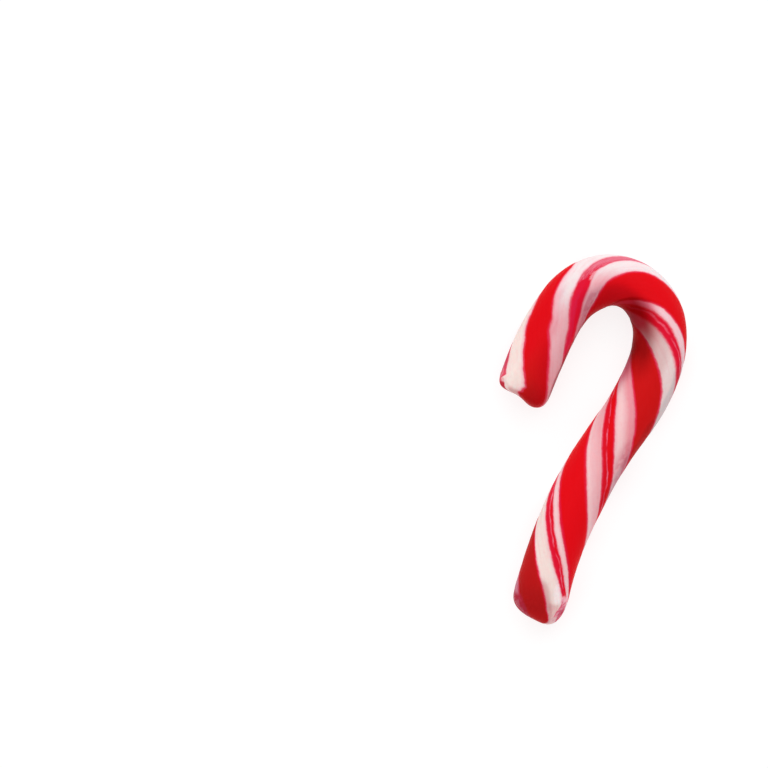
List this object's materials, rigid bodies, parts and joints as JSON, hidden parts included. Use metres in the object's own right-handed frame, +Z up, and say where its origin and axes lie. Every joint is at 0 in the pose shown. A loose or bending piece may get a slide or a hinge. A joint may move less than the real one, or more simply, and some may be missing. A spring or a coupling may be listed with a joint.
{
  "type": "candy cane",
  "caption": "Small candy cane of hard boiled sugar: a twisted rod with red and white stripes, bent into a crook and lying on its side.",
  "frame": {"origin": "on the surface that the cane lies on, below the middle of its outline", "axes": "+Y from the foot of the leg towards the crook, +X away from the arm, +Z up from the surface that the cane lies on"},
  "size_m": [0.0264, 0.0582, 0.0082],
  "materials": {
    "striped_sugar": "satin boiled sugar in twisted red and white stripes, slightly translucent"
  },
  "bodies": {
    "root": {"candy_cane": "striped_sugar"}
  },
  "joints": []
}
